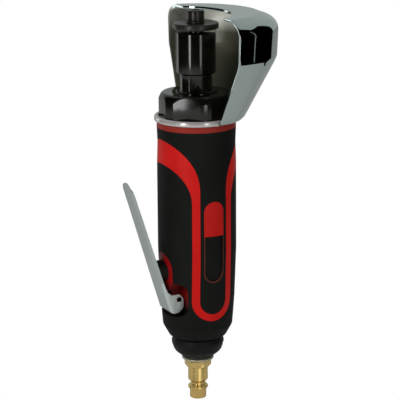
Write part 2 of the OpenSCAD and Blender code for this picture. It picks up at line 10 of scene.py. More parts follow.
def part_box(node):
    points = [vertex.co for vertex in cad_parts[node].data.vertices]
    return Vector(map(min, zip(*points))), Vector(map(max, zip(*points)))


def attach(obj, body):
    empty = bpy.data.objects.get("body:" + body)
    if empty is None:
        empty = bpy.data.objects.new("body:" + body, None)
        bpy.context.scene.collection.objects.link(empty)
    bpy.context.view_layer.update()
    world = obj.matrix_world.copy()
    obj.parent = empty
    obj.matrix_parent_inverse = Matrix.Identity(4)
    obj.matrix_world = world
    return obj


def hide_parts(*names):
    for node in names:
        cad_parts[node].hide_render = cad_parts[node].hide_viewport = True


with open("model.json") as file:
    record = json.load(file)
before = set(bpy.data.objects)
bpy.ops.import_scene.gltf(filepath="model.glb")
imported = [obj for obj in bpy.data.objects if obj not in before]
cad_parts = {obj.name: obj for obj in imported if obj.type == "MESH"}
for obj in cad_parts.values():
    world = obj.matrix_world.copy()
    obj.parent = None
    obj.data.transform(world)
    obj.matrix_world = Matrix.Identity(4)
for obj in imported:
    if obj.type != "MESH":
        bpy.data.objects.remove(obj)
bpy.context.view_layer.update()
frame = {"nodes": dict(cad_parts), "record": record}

MM = 0.001


# ---------------------------------------------------------------- numbers, in millimetres

X, Y, Z = 0, 1, 2


def span(node, axis=Z):
    """Lowest and highest coordinate of a CAD node along an axis."""
    lo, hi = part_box(node)
    return round(lo[axis] / MM, 2), round(hi[axis] / MM, 2)


def joint_place(name):
    """Where a joint of the record stands."""
    joints = frame["record"]["behaviour"]["joints"]
    return [round(c / MM, 2) for c in next(j for j in joints if j["name"] == name)["pos_m"]]


# the guard: outer radius, sheet, base and top, and the plane it is cut off at in front
GUARD_R = round(span("wheel_guard", X)[1], 1)
GUARD_T = 1.8
GUARD_BASE, GUARD_TOP = span("wheel_guard")
GUARD_CHORD = 4.6
GUARD_FOOT_X = 1.9
GUARD_FOOT_Z = 175
GUARD_KNEE_Z = 208
SHOULDER_R = 8.15
# the wheel clearance in its top plate
CUT_R = 33.0
CUT_X = -13.0


# ---------------------------------------------------------------- mesh helpers

def mesh_object(name, verts, faces, angle=35):
    me = bpy.data.meshes.new(name)
    me.from_pydata([tuple(c * MM for c in v) for v in verts], [], faces)
    me.validate()
    ob = bpy.data.objects.new(name, me)
    bpy.context.scene.collection.objects.link(ob)
    bm = bmesh.new()
    bm.from_mesh(me)
    bmesh.ops.remove_doubles(bm, verts=bm.verts, dist=1e-7)
    bmesh.ops.recalc_face_normals(bm, faces=bm.faces)
    bm.to_mesh(me)
    bm.free()
    shade(ob, angle)
    return ob


def shade(ob, angle=35):
    ob.data.shade_smooth()
    ob.data.set_sharp_from_angle(angle=math.radians(angle))


def apply_mods(ob):
    dg = bpy.context.evaluated_depsgraph_get()
    me = bpy.data.meshes.new_from_object(ob.evaluated_get(dg))
    ob.modifiers.clear()
    old = ob.data
    ob.data = me
    bpy.data.meshes.remove(old)


def boolean(ob, cutter, op="DIFFERENCE"):
    m = ob.modifiers.new("b", "BOOLEAN")
    m.operation = op
    m.solver = "EXACT"
    m.object = cutter
    bpy.context.view_layer.update()
    apply_mods(ob)
    bpy.data.objects.remove(cutter)
    return ob


def bevel(ob, width, segments=2, angle=30):
    m = ob.modifiers.new("bevel", "BEVEL")
    m.width = width * MM
    m.segments = segments
    m.limit_method = "ANGLE"
    m.angle_limit = math.radians(angle)
    m.miter_outer = "MITER_ARC"
    m.use_clamp_overlap = True
    bpy.context.view_layer.update()
    apply_mods(ob)
    shade(ob, 40)
    return ob


def revolve(name, profile, seg=128, angle=35):
    """A closed [radius, height] outline turned about the Z axis."""
    n = len(profile)
    verts, faces = [], []
    for i in range(seg):
        a = 2 * math.pi * i / seg
        for r, z in profile:
            verts.append((r * math.cos(a), r * math.sin(a), z))
    for i in range(seg):
        k = (i + 1) % seg
        for j in range(n):
            m = (j + 1) % n
            if profile[j][0] < 1e-6 and profile[m][0] < 1e-6:
                continue
            faces.append((i * n + j, k * n + j, k * n + m, i * n + m))
    return mesh_object(name, verts, faces, angle)


def fillet(points, closed=True, steps=4):
    """Points are (x, y) or (x, y, radius): every corner with a radius is rounded."""
    out = []
    n = len(points)
    for i, p in enumerate(points):
        r = p[2] if len(p) > 2 else 0
        if r <= 0 or (not closed and i in (0, n - 1)):
            out.append((p[0], p[1]))
            continue
        a = Vector(points[i - 1][:2]) - Vector(p[:2])
        b = Vector(points[(i + 1) % n][:2]) - Vector(p[:2])
        la, lb = a.length, b.length
        a.normalize()
        b.normalize()
        half = math.acos(max(-1, min(1, a.dot(b)))) / 2
        if half > math.pi / 2 - 1e-3:
            out.append((p[0], p[1]))
            continue
        t = min(r / math.tan(half), la * 0.49, lb * 0.49)
        r = t * math.tan(half)
        c = Vector(p[:2]) + (a + b).normalized() * (r / math.sin(half))
        s = Vector(p[:2]) + a * t - c
        turn = math.pi - 2 * half
        side = 1 if a.x * b.y - a.y * b.x < 0 else -1
        for k in range(steps + 1):
            w = side * turn * k / steps
            out.append((c.x + s.x * math.cos(w) - s.y * math.sin(w),
                        c.y + s.x * math.sin(w) + s.y * math.cos(w)))
    return out


def extrude(name, outline, z0, z1, angle=35):
    """A closed outline in X and Y, drawn out from z0 to z1."""
    n = len(outline)
    verts = [(x, y, z0) for x, y in outline] + [(x, y, z1) for x, y in outline]
    faces = [tuple(range(n)), tuple(range(2 * n - 1, n - 1, -1))]
    faces += [(i, (i + 1) % n, n + (i + 1) % n, n + i) for i in range(n)]
    return mesh_object(name, verts, faces, angle)


def place(ob, matrix):
    ob.data.transform(matrix)
    return ob


def move(x, y, z):
    return Matrix.Translation((x * MM, y * MM, z * MM))


def turn(axis, degrees):
    return Matrix.Rotation(math.radians(degrees), 4, axis)


def circle_pts(r, n=64, phase=0.0):
    """Points on a circle; phase turns them by that share of a step."""
    angles = [2 * math.pi * (i + phase) / n for i in range(n)]
    return [(r * math.cos(a), r * math.sin(a)) for a in angles]


def cylinder(name, r, z0, z1, seg=64):
    return extrude(name, circle_pts(r, seg), z0, z1)


def block(name, x0, x1, y0, y1, z0, z1):
    return extrude(name, [(x0, y0), (x1, y0), (x1, y1), (x0, y1)], z0, z1)


def put(ob, body, material, *nodes):
    """Give a piece its material, the body it rides on and the CAD nodes it stands for."""
    ob.data.materials.clear()
    ob.data.materials.append(material)
    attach(ob, body)
    if nodes:
        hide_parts(*nodes)
    return ob


# ---------------------------------------------------------------- materials

def principled(name, color, rough, metallic=0.0, specular=0.5, coat=0.0):
    mat = bpy.data.materials.new(name)
    mat.use_nodes = True
    nt = mat.node_tree
    b = nt.nodes["Principled BSDF"]
    b.inputs["Base Color"].default_value = (*color, 1)
    b.inputs["Roughness"].default_value = rough
    b.inputs["Metallic"].default_value = metallic
    b.inputs["Specular IOR Level"].default_value = specular
    b.inputs["Coat Weight"].default_value = coat
    return mat, nt, b


def node(nt, kind, **values):
    n = nt.nodes.new(kind)
    for k, v in values.items():
        if k in n.inputs:
            n.inputs[k].default_value = v
        else:
            setattr(n, k, v)
    return n


def noise(nt, scale, detail=4.0, rough=0.55, stretch=None):
    """Object-space noise, with an optional stretch along each axis."""
    tc = nt.nodes.new("ShaderNodeTexCoord")
    mp = nt.nodes.new("ShaderNodeMapping")
    mp.inputs["Scale"].default_value = stretch or (1, 1, 1)
    nz = node(nt, "ShaderNodeTexNoise", Scale=scale, Detail=detail, Roughness=rough)
    nt.links.new(tc.outputs["Object"], mp.inputs["Vector"])
    nt.links.new(mp.outputs["Vector"], nz.inputs["Vector"])
    return nz.outputs["Fac"]


def vary(nt, fac, socket, lo, hi):
    """Drive a value socket from noise, between lo and hi."""
    mr = node(nt, "ShaderNodeMapRange")
    mr.inputs["From Min"].default_value = 0.3
    mr.inputs["From Max"].default_value = 0.7
    mr.inputs["To Min"].default_value = lo
    mr.inputs["To Max"].default_value = hi
    nt.links.new(fac, mr.inputs["Value"])
    nt.links.new(mr.outputs["Result"], socket)


def tint(nt, fac, socket, dark, light):
    """Drive a colour socket from noise, between dark and light."""
    ramp = nt.nodes.new("ShaderNodeValToRGB")
    ramp.color_ramp.elements[0].position = 0.3
    ramp.color_ramp.elements[0].color = (*dark, 1)
    ramp.color_ramp.elements[1].position = 0.7
    ramp.color_ramp.elements[1].color = (*light, 1)
    nt.links.new(fac, ramp.inputs["Fac"])
    nt.links.new(ramp.outputs["Color"], socket)


def bump(nt, fac, bsdf, strength, distance):
    bp = node(nt, "ShaderNodeBump", Strength=strength, Distance=distance)
    nt.links.new(fac, bp.inputs["Height"])
    nt.links.new(bp.outputs["Normal"], bsdf.inputs["Normal"])


def make_material(name, dark, light, rough, metallic=0.0, specular=0.5, coat=0.0,
                  scale=120, stretch=None, bumps=None):
    """Colour and roughness that wander between two values, with an optional fine bump."""
    mat, nt, b = principled(name, light, rough[0], metallic, specular, coat)
    tint(nt, noise(nt, scale, stretch=stretch), b.inputs["Base Color"], dark, light)
    vary(nt, noise(nt, scale * 0.6, stretch=stretch), b.inputs["Roughness"], rough[0], rough[1])
    if bumps:
        bump(nt, noise(nt, bumps[0], 2.0, stretch=stretch), b, bumps[1], bumps[2])
    return mat


RUBBER = make_material("rubber", (0.003, 0.0038, 0.0028), (0.005, 0.0062, 0.0046), (0.62, 0.72),
                       specular=0.18, scale=60, bumps=(2600, 0.25, 0.00012))
RED = make_material("red_shell", (0.52, 0.0035, 0.002), (0.59, 0.006, 0.0035), (0.40, 0.48),
                    specular=0.16, scale=50, bumps=(1500, 0.06, 0.0001))
RED_BADGE = make_material("red_badge", (0.42, 0.004, 0.002), (0.50, 0.006, 0.0035), (0.45, 0.5),
                          specular=0.16, scale=50)
CHROME = make_material("chrome", (0.50, 0.58, 0.565), (0.54, 0.62, 0.605), (0.035, 0.07),
                       metallic=1.0, scale=25)
CHROME_RING = make_material("chrome_ring", (0.56, 0.53, 0.52), (0.64, 0.60, 0.59), (0.16, 0.24),
                            metallic=0.55, scale=60)
# the guard's inside: its pale colour is a painted reflection of the bright studio
CHROME_INSIDE = make_material("chrome_inside", (0.78, 0.79, 0.70), (0.92, 0.93, 0.83), (0.26, 0.36),
                              metallic=0.15, scale=45, bumps=(500, 0.06, 0.0001))
SATIN = make_material("satin_chrome", (0.345, 0.385, 0.375), (0.40, 0.44, 0.43), (0.30, 0.40),
                      metallic=0.22, scale=90, stretch=(1, 1, 0.12), bumps=(900, 0.08, 0.0001))
OXIDE = make_material("black_oxide", (0.002, 0.002, 0.0012), (0.005, 0.005, 0.0035), (0.10, 0.15),
                      specular=0.55, scale=140, bumps=(1800, 0.03, 0.0001))
OXIDE_ROUGH = make_material("black_oxide_rough", (0.008, 0.0075, 0.005), (0.015, 0.014, 0.010), (0.26, 0.36),
                            specular=0.5, scale=140, bumps=(1500, 0.1, 0.0001))
PLASTIC = make_material("black_plastic", (0.003, 0.0035, 0.0028), (0.006, 0.0066, 0.0055), (0.45, 0.55),
                        specular=0.2, scale=80, bumps=(1800, 0.15, 0.0001))
BRASS = make_material("brass", (0.74, 0.52, 0.18), (0.88, 0.64, 0.24), (0.12, 0.2),
                      metallic=0.85, scale=160, stretch=(1, 1, 6), bumps=(900, 0.1, 0.00008))
STEEL = make_material("bright_steel", (0.5, 0.5, 0.49), (0.6, 0.6, 0.59), (0.18, 0.3),
                      metallic=1.0, scale=160, bumps=(900, 0.1, 0.00008))
WARM_STEEL = make_material("warm_steel", (0.42, 0.38, 0.26), (0.52, 0.47, 0.33), (0.2, 0.3),
                           metallic=0.5, scale=160)
ALUMINIUM = make_material("aluminium", (0.55, 0.56, 0.57), (0.66, 0.67, 0.68), (0.3, 0.4), metallic=1.0,
                          scale=120)
FELT = make_material("felt", (0.24, 0.2, 0.14), (0.36, 0.31, 0.24), (0.85, 0.95), specular=0.1,
                     scale=400, bumps=(2500, 0.6, 0.0004))
PHENOLIC = make_material("phenolic", (0.09, 0.045, 0.02), (0.14, 0.075, 0.035), (0.5, 0.6), scale=200,
                         stretch=(1, 1, 0.2))


class Mask:
    """Sums on the object's own coordinates, in millimetres, that end in a 0 to 1 value."""

    def __init__(self, nt):
        self.nt = nt
        tc = nt.nodes.new("ShaderNodeTexCoord")
        sep = nt.nodes.new("ShaderNodeSeparateXYZ")
        nt.links.new(tc.outputs["Object"], sep.inputs["Vector"])
        self.axes = {k: self.math("MULTIPLY", sep.outputs[k], 1 / MM) for k in "XYZ"}

    def math(self, op, a, b=0.0):
        n = node(self.nt, "ShaderNodeMath", operation=op)
        for slot, v in ((0, a), (1, b)):
            if isinstance(v, (int, float)):
                n.inputs[slot].default_value = v
            else:
                self.nt.links.new(v, n.inputs[slot])
        return n.outputs[0]

    def below(self, axis, limit):
        return self.math("LESS_THAN", self.axes[axis], limit)

    def above(self, axis, limit):
        return self.math("GREATER_THAN", self.axes[axis], limit)

    def within(self, axis, half):
        return self.math("LESS_THAN", self.math("ABSOLUTE", self.axes[axis]), half)

    def ramp(self, axis, at0, at1):
        mr = node(self.nt, "ShaderNodeMapRange")
        mr.inputs["From Min"].default_value = at0
        mr.inputs["From Max"].default_value = at1
        self.nt.links.new(self.axes[axis], mr.inputs["Value"])
        return mr.outputs["Result"]

    def both(self, *parts):
        out = parts[0]
        for q in parts[1:]:
            out = self.math("MULTIPLY", out, q)
        return out

    def recolor(self, fac, color):
        """Lay a colour over the base colour where the mask is 1."""
        b = self.nt.nodes["Principled BSDF"]
        old = b.inputs["Base Color"].links[0].from_socket
        mx = node(self.nt, "ShaderNodeMix", data_type="RGBA")
        mx.inputs[7].default_value = (*color, 1)
        self.nt.links.new(fac, mx.inputs[0])
        self.nt.links.new(old, mx.inputs[6])
        self.nt.links.new(mx.outputs[2], b.inputs["Base Color"])


# the red shell: painted shade on the ring under the guard, and painted shade in a pocket under the lever that
# darkens downwards
RED_RING_Z = 168.9
m = Mask(RED.node_tree)
# painted shade: the ring under the guard is painted darker, where the guard's base ring overhangs it
m.recolor(m.above("Z", RED_RING_Z), (0.26, 0.02, 0.012))
# painted shade: the shell behind the lever is painted a darker red, where the lever shades it
lever_shade = m.both(m.below("X", -13.5), m.within("Y", 11.5), m.below("Z", 100), 0.65)
m.recolor(lever_shade, (0.13, 0.003, 0.007))
pocket = m.both(m.below("X", -11.5), m.within("Y", 17.9))
# painted shade: the pocket is painted much darker below its lit top edge, and black further down
m.recolor(m.both(pocket, m.ramp("Z", 77.0, 74.0), 0.7), (0.006, 0.004, 0.003))
m.recolor(m.both(pocket, m.ramp("Z", 68.0, 60.0)), (0.006, 0.005, 0.004))
# painted light: the lever's ears are painted a little brighter than its web, where the light falls on them
# more
EAR_TOP, EAR_INSIDE = 77.0, 6.9
m = Mask(SATIN.node_tree)
outside = m.math("GREATER_THAN", m.math("ABSOLUTE", m.axes["Y"]), EAR_INSIDE)
m.recolor(m.both(m.below("Z", EAR_TOP), outside), (0.52, 0.57, 0.55))
# the badge: plain red above, a thin dull outline round a black field below
BADGE_SPLIT, FIELD_HALF, FIELD_FOOT = 106.9, 5.75, 84.5
m = Mask(RED_BADGE.node_tree)
m.recolor(m.below("Z", BADGE_SPLIT), (0.10, 0.022, 0.014))
field = m.both(m.below("Z", BADGE_SPLIT), m.within("X", FIELD_HALF), m.above("Z", FIELD_FOOT))
m.recolor(field, (0.004, 0.005, 0.004))
# painted reflection and shade: the guard's inside is painted pale under its top, a painted reflection of the
# bright studio, and painted dark lower down and towards its far side, a painted shade
m = Mask(CHROME_INSIDE.node_tree)
m.recolor(m.ramp("Z", 232.0, 218.0), (0.075, 0.075, 0.052))
m.recolor(m.both(m.ramp("Y", 38.0, 45.0), 0.8), (0.03, 0.03, 0.024))

CAD_LOOK = {
    "motor_housing": RED, "grip_overmould": RUBBER, "badge": RED_BADGE, "lever_pin": OXIDE,
    "wheel_guard": CHROME, "clamp_nut": OXIDE, "arbor": OXIDE, "outer_flange": OXIDE_ROUGH,
    "lock_washer": OXIDE_ROUGH, "clamp_screw": OXIDE_ROUGH, "throttle_lever": SATIN,
    "valve_bushing": PLASTIC, "valve_o_ring": RUBBER, "valve_plunger": PLASTIC, "valve_poppet": BRASS,
    "valve_spring": STEEL, "exhaust_deflector": PLASTIC, "muffler_felt": FELT,
    "inlet_bushing": OXIDE_ROUGH, "inlet_screen": STEEL, "sealing_washer": STEEL, "air_plug": BRASS,
    "rear_end_plate": ALUMINIUM, "motor_liner": STEEL, "rotor": STEEL, "rotor_vanes": PHENOLIC,
    "front_end_plate": ALUMINIUM, "front_outer_race": STEEL, "front_inner_race": STEEL,
    "front_ball_set": STEEL, "rear_outer_race": STEEL, "rear_inner_race": STEEL,
    "rear_ball_set": STEEL, "spring_washer": STEEL, "bearing_cap": OXIDE_ROUGH,
}
for name, ob in frame["nodes"].items():
    ob.data.materials.clear()
    ob.data.materials.append(CAD_LOOK[name])


# ---------------------------------------------------------------- wheel guard

def arc(cx, cz, r, a0, a1, n):
    """Points along an arc, with its angles in degrees."""
    angles = [math.radians(a0 + (a1 - a0) * i / n) for i in range(n + 1)]
    return [(cx + r * math.cos(a), cz + r * math.sin(a)) for a in angles]


def guard_profile(t):
    """The guard's outline seen from the side, t millimetres inside the outer skin, from the base up."""
    r = GUARD_R - t
    corners = [(24.0, 173.1 + t, 0), (26.6, 173.6 + t, 2), (28.6 - 0.6 * t, 175.4 + 0.6 * t, 3),
               (29.9 - t, 177.6, 4), (r - 1.9, 208.8, 9 if t else 3), (r - 0.7, 211.8, 12 if t else 4),
               (r, 226.5)]
    shoulder = arc(GUARD_R - SHOULDER_R, GUARD_TOP - 9.85, SHOULDER_R - t, 0, 80, 16)
    return fillet(corners, closed=False, steps=8)[:-1] + shoulder + [(37.2, GUARD_TOP - t)]


def cut_x(z):
    """Where the guard is cut off in front, at this height."""
    w = min(1, max(0, (z - GUARD_FOOT_Z) / (GUARD_KNEE_Z - GUARD_FOOT_Z)))
    return GUARD_FOOT_X + (GUARD_CHORD - GUARD_FOOT_X) * w


def build_guard():
    """Half a drum on a cone, as two skins joined at their edges, and the ring it stands on."""
    cols, plate_rows = 160, 8
    skins = []
    for t in (0.0, GUARD_T):
        rows = []
        for r, z in guard_profile(t):
            reach = math.acos(min(1, cut_x(z) / r))
            rows.append([(r * math.cos(reach * s), r * math.sin(reach * s), z)
                         for s in np.linspace(-1, 1, cols)])
        # top plate, in to the wheel clearance
        edge_angle = math.acos((GUARD_CHORD - CUT_X) / CUT_R)
        inner = [(CUT_X + CUT_R * math.cos(edge_angle * s), CUT_R * math.sin(edge_angle * s), rows[-1][0][2])
                 for s in np.linspace(-1, 1, cols)]
        last = rows[-1]
        for k in range(1, plate_rows + 1):
            w = k / plate_rows
            rows.append([tuple(a + (b - a) * w for a, b in zip(p, q)) for p, q in zip(last, inner)])
        skins.append(rows)
    verts, faces = [], []
    n = len(skins[0])
    for rows in skins:
        for row in rows:
            verts += row

    def at(s, i, j):
        return (s * n + i) * cols + j

    for i in range(n - 1):
        for j in range(cols - 1):
            faces.append((at(0, i, j), at(0, i, j + 1), at(0, i + 1, j + 1), at(0, i + 1, j)))
            faces.append((at(1, i, j), at(1, i + 1, j), at(1, i + 1, j + 1), at(1, i, j + 1)))
        for j in (0, cols - 1):
            faces.append((at(0, i, j), at(0, i + 1, j), at(1, i + 1, j), at(1, i, j)))
    for i in (0, n - 1):
        for j in range(cols - 1):
            faces.append((at(0, i, j), at(1, i, j), at(1, i, j + 1), at(0, i, j + 1)))
    shell = mesh_object("guard_shell", verts, faces, 50)
    bevel(shell, 0.4, 3, 55)
    put(shell, "guard", CHROME, "wheel_guard")
    shell.data.materials.append(CHROME_INSIDE)
    # the duller material, with its painted reflection and shade, on every face that looks inwards, and on the
    # edge away from the camera
    for poly in shell.data.polygons:
        c, nv = poly.center / MM, poly.normal
        radial = (c.x * nv.x + c.y * nv.y) / math.hypot(c.x, c.y)
        under = c.z > GUARD_TOP - 3 and nv.z < -0.5
        edge = math.hypot(c.x - CUT_X, c.y) < CUT_R + 0.8 and c.z > 234
        far_edge = nv.x < -0.6 and c.y > 20 and c.z < 234
        if ((radial < -0.3 or under) and not edge) or far_edge:
            poly.material_index = 1
    ring = revolve("guard_base_ring", fillet([
        (20.1, GUARD_BASE), (24.95, GUARD_BASE, 0.8), (24.95, 176.1, 1.2), (22.7, 176.1, 0.6), (22.7, 175.0),
        (20.1, 175.0)], steps=5), 192)
    put(ring, "guard", CHROME_RING)


build_guard()


# ---------------------------------------------------------------- head

def hex_pts(flats):
    """A hexagon's corners, from the distance across its flats."""
    return circle_pts(flats / 2 / math.cos(math.pi / 6), 6, 0.5)


def build_nut():
    """Clamp nut: a ring with chamfered top, cut to six flats."""
    z0, z1 = span("clamp_nut")
    r = 22.4
    nut = revolve("clamp_nut_body", fillet([
        (12.7, z0), (r - 0.5, z0), (r, z0 + 0.5), (r, z1 - 4.2, 1.2), (r - 1.5, z1 - 0.8, 1.4),
        (r - 2.6, z1), (12.7, z1, 0.5)], steps=5), 192)
    prism = place(extrude("prism", hex_pts(41.6), z0 - 5, z1 + 5), turn("Z", -11))
    boolean(nut, prism, "INTERSECT")
    bevel(nut, 0.35, 3, 12)
    put(nut, "body", OXIDE, "clamp_nut")


def build_arbor():
    """Arbor: a boss with a pin hole, a neck with two wrench flats, a body and the wheel's pilot."""
    neck, boss, body, pilot = 9.4, 12.2, 11.7, 4.95
    foot, boss_top, neck_top, seat, top = 185.3, 190.4, 200.7, 225.2, 229.8
    face = -27
    arbor = revolve("arbor_body", fillet([
        (0, foot), (boss, foot), (boss, boss_top, 0.5), (neck, boss_top, 0.4), (neck, 200.2, 0.3),
        (neck + 1.0, neck_top), (body, 201.5, 0.5), (body, seat, 0.5), (pilot, seat), (pilot, top, 0.3),
        (0, top)], steps=4), 128)
    for side in (0, 180):
        flat = extrude("flat", [(-20, boss_top), (20, boss_top), (20, neck_top), (-20, neck_top)], 8.6, 20)
        place(flat, turn("Z", face + side) @ turn("X", 90))
        boolean(arbor, flat)
    hole = cylinder("hole", 2.0, 0, 20, 32)
    place(hole, turn("Z", face) @ move(0, 0, 188.9) @ turn("X", 90))
    boolean(arbor, hole)
    bevel(arbor, 0.2, 2, 30)
    put(arbor, "spindle", OXIDE, "arbor")


def build_flange():
    """The flange, its split washer and the screw's head."""
    z0, z1 = span("outer_flange")
    flange = revolve("flange_disc", fillet([
        (5.0, z0), (13.5, z0, 0.5), (13.5, z1, 0.6), (5.0, z1, 0.3)], steps=4), 128)
    put(flange, "spindle", OXIDE_ROUGH, "outer_flange")
    washer = revolve("washer_ring", fillet([
        (3.2, 230.75), (5.35, 230.75, 0.2), (5.35, 231.85, 0.3), (3.2, 231.85, 0.2)], steps=3), 64)
    split = place(block("split", 2, 8, -0.4, 0.4, 229, 233), turn("Z", 60))
    boolean(washer, split)
    put(washer, "spindle", OXIDE_ROUGH, "lock_washer")
    top = span("clamp_screw")[1]
    screw = revolve("screw_head", fillet([
        (0, 231.9), (5.0, 231.9, 0.2), (5.0, top, 0.7), (0, top)], steps=4), 96)
    socket = place(extrude("socket", hex_pts(5.0), 234.5, 240), turn("Z", 10))
    boolean(screw, socket)
    bevel(screw, 0.15, 2, 40)
    put(screw, "spindle", OXIDE_ROUGH, "clamp_screw")


build_nut()
build_arbor()
build_flange()


# ---------------------------------------------------------------- throttle lever

def build_lever():
    """A channel of sheet with two ears, modelled upright about its pin and then leant out."""
    v, t, w, top = 7.75, 1.3, 16.0, 79.0    # web's distance from the pin, sheet, width, length
    tip_w, lean = 13.0, 17.4
    pin_x, _, pin_z = joint_place("lever_press")
    # channel section across the lever: x is across, y is outwards
    r = 2.4
    channel = fillet([(-w / 2, -3.4), (-w / 2, v, r), (w / 2, v, r), (w / 2, -3.4),
                      (w / 2 - t, -3.4), (w / 2 - t, v - t, r - t), (-w / 2 + t, v - t, r - t),
                      (-w / 2 + t, -3.4)], steps=9)
    lever = extrude("lever_plate", channel, 9.0, top + 2)
    # the sides draw in towards the tip
    for vert in lever.data.vertices:
        if vert.co.z > 20 * MM:
            vert.co.x -= math.copysign((w - tip_w) / 2 * MM, vert.co.x)
    ears = extrude("ears", channel, -9.5, 9.0)
    boolean(lever, ears, "UNION")
    # side view: x is outwards, y is up the lever
    side = fillet([(-1.4, 2.7, 1.8), (3.4, 4.1, 2), (v - t - 1.0, 7.2, 1.6), (v - t - 0.55, 11),
                   (v - t - 0.35, 90), (v + 1, 90), (v + 1, -4.0), (v, -4.0, 2), (v - 0.8, -6.3, 2),
                   (v - 3, -7.3, 3), (2.2, -7.6, 3), (-1.2, -5.9, 3), (-3.0, -0.9, 2.2)], steps=6)
    outline = extrude("outline", side, -10, 10)
    # (outwards, up, across) to (across, outwards, up)
    place(outline, Matrix(((0, 0, 1, 0), (1, 0, 0, 0), (0, 1, 0, 0), (0, 0, 0, 1))))
    boolean(lever, outline, "INTERSECT")
    # rounded tip, as seen from outside the lever
    h = tip_w / 2
    tip = fillet([(-w, -20), (w, -20), (w, top - 9), (h + 0.2, top - 9), (h - 0.6, top - 5.5, 4),
                  (h - 4.0, top - 0.5, 4), (0, top, 6), (4.0 - h, top - 0.5, 4), (0.6 - h, top - 5.5, 4),
                  (-h - 0.2, top - 9), (-w, top - 9)], steps=6)
    tip_solid = extrude("tip", tip, -20, 20)
    place(tip_solid, turn("X", 90))
    boolean(lever, tip_solid, "INTERSECT")
    hole = place(cylinder("hole", 1.55, -20, 20, 48), turn("Y", 90))
    boolean(lever, hole)
    bevel(lever, 0.22, 2, 35)
    # across -> Y, outwards -> -X, up -> Z, then lean it out about the pin
    place(lever, Matrix(((0, -1, 0, 0), (1, 0, 0, 0), (0, 0, 1, 0), (0, 0, 0, 1))))
    place(lever, move(pin_x, 0, pin_z) @ turn("Y", -lean))
    put(lever, "lever", SATIN, "throttle_lever")


build_lever()


# ---------------------------------------------------------------- air inlet end

def build_plug():
    """Quick-connect plug: nose, ridge, groove, locking barrel and a hexagon of its own."""
    bore, top = 3.5, span("air_plug")[1]
    plug = revolve("plug_body", fillet([
        (bore, 0.4), (3.9, 0), (4.6, 0), (5.0, 0.5), (5.0, 4.9), (5.8, 6.2, 0.4), (6.1, 6.6),
        (6.1, 7.6, 0.5), (4.7, 8.5, 0.4), (4.5, 9.0, 0.3), (4.5, 10.0, 0.5), (5.5, 11.2, 0.3),
        (6.0, 11.7), (6.0, 18.4, 0.4), (5.9, 19.4), (5.9, top), (bore, top)], steps=4), 128)
    hexagon = revolve("plug_hex", fillet([
        (3.6, 20.0), (6.9, 20.0), (8.1, 21.2, 0.4), (8.1, 24.5), (3.6, 24.5)], steps=3), 96)
    prism = extrude("prism", hex_pts(14.0), 15, 30)
    boolean(hexagon, prism, "INTERSECT")
    bevel(hexagon, 0.2, 2, 20)
    put(plug, "body", BRASS, "air_plug")
    put(hexagon, "body", BRASS)


def build_tail():
    """The inlet bushing's collar, the seal ring below it and the exhaust deflector round it."""
    foot, top = 26.24, span("inlet_bushing")[1]
    bush = revolve("inlet_collar", fillet([
        (6.55, foot), (9.5, foot, 0.2), (9.7, 26.6, 0.4), (9.7, 28.04, 0.5), (8.0, 28.04), (8.0, top, 0.5),
        (4.5, top), (4.5, 34.4), (6.55, 34.4)], steps=4), 128)
    put(bush, "body", OXIDE_ROUGH, "inlet_bushing")
    ring_z = span("sealing_washer")[0]
    washer = revolve("seal_ring", fillet([
        (6.7, ring_z), (8.9, ring_z, 0.3), (9.6, 25.3, 0.4), (9.6, 26.2, 0.3), (6.7, 26.2)], steps=3), 96)
    put(washer, "body", WARM_STEEL, "sealing_washer")
    # deflector cap with its three slots
    z0, z1 = span("exhaust_deflector")
    r, bore, slot_step = 15.8, 8.05, 32
    cap = revolve("deflector_cap", fillet([
        (bore, z0), (11.3, z0, 0.5), (14.2, z0 + 2.4, 6), (r, z0 + 7.0, 6), (r, z1 - 2.4, 2.0),
        (15.0, z1, 0.6), (13.6, z1), (13.6, z0 + 4.5), (9.4, z0 + 2.4), (9.4, z1), (bore, z1)], steps=8), 160)
    low, high = z0 + 5.4, z0 + 7.4
    for i in (-1, 0, 1):
        outline = fillet([(-3, low, 0.9), (3, low, 0.9), (3, high, 0.9), (-3, high, 0.9)], steps=4)
        slot = extrude("slot", outline, -20, -12)
        place(slot, turn("Z", slot_step * i - 90) @ turn("X", 90))
        boolean(cap, slot)
    put(cap, "deflector", PLASTIC, "exhaust_deflector")


build_plug()
build_tail()


# ---------------------------------------------------------------- studio

def stage_plane(name, material, size, centre, normal_to=None):
    verts = [(-size[0], -size[1], 0), (size[0], -size[1], 0), (size[0], size[1], 0), (-size[0], size[1], 0)]
    ob = mesh_object(name, verts, [(0, 1, 2, 3)])
    ob.data.materials.append(material)
    ob.location = Vector(centre) * MM
    if normal_to:
        d = Vector(normal_to) - Vector(centre)
        ob.rotation_euler = d.to_track_quat("Z", "Y").to_euler()
    return ob


CAMERA_AZ = -26.0
AXIS_SHIFT = 1.9


def around(azimuth, radius, height):
    """A place at an azimuth seen from the camera's side: 0 is straight at the camera, + is to its right."""
    a = math.radians(CAMERA_AZ + azimuth)
    return (radius * math.sin(a), -radius * math.cos(a), height)


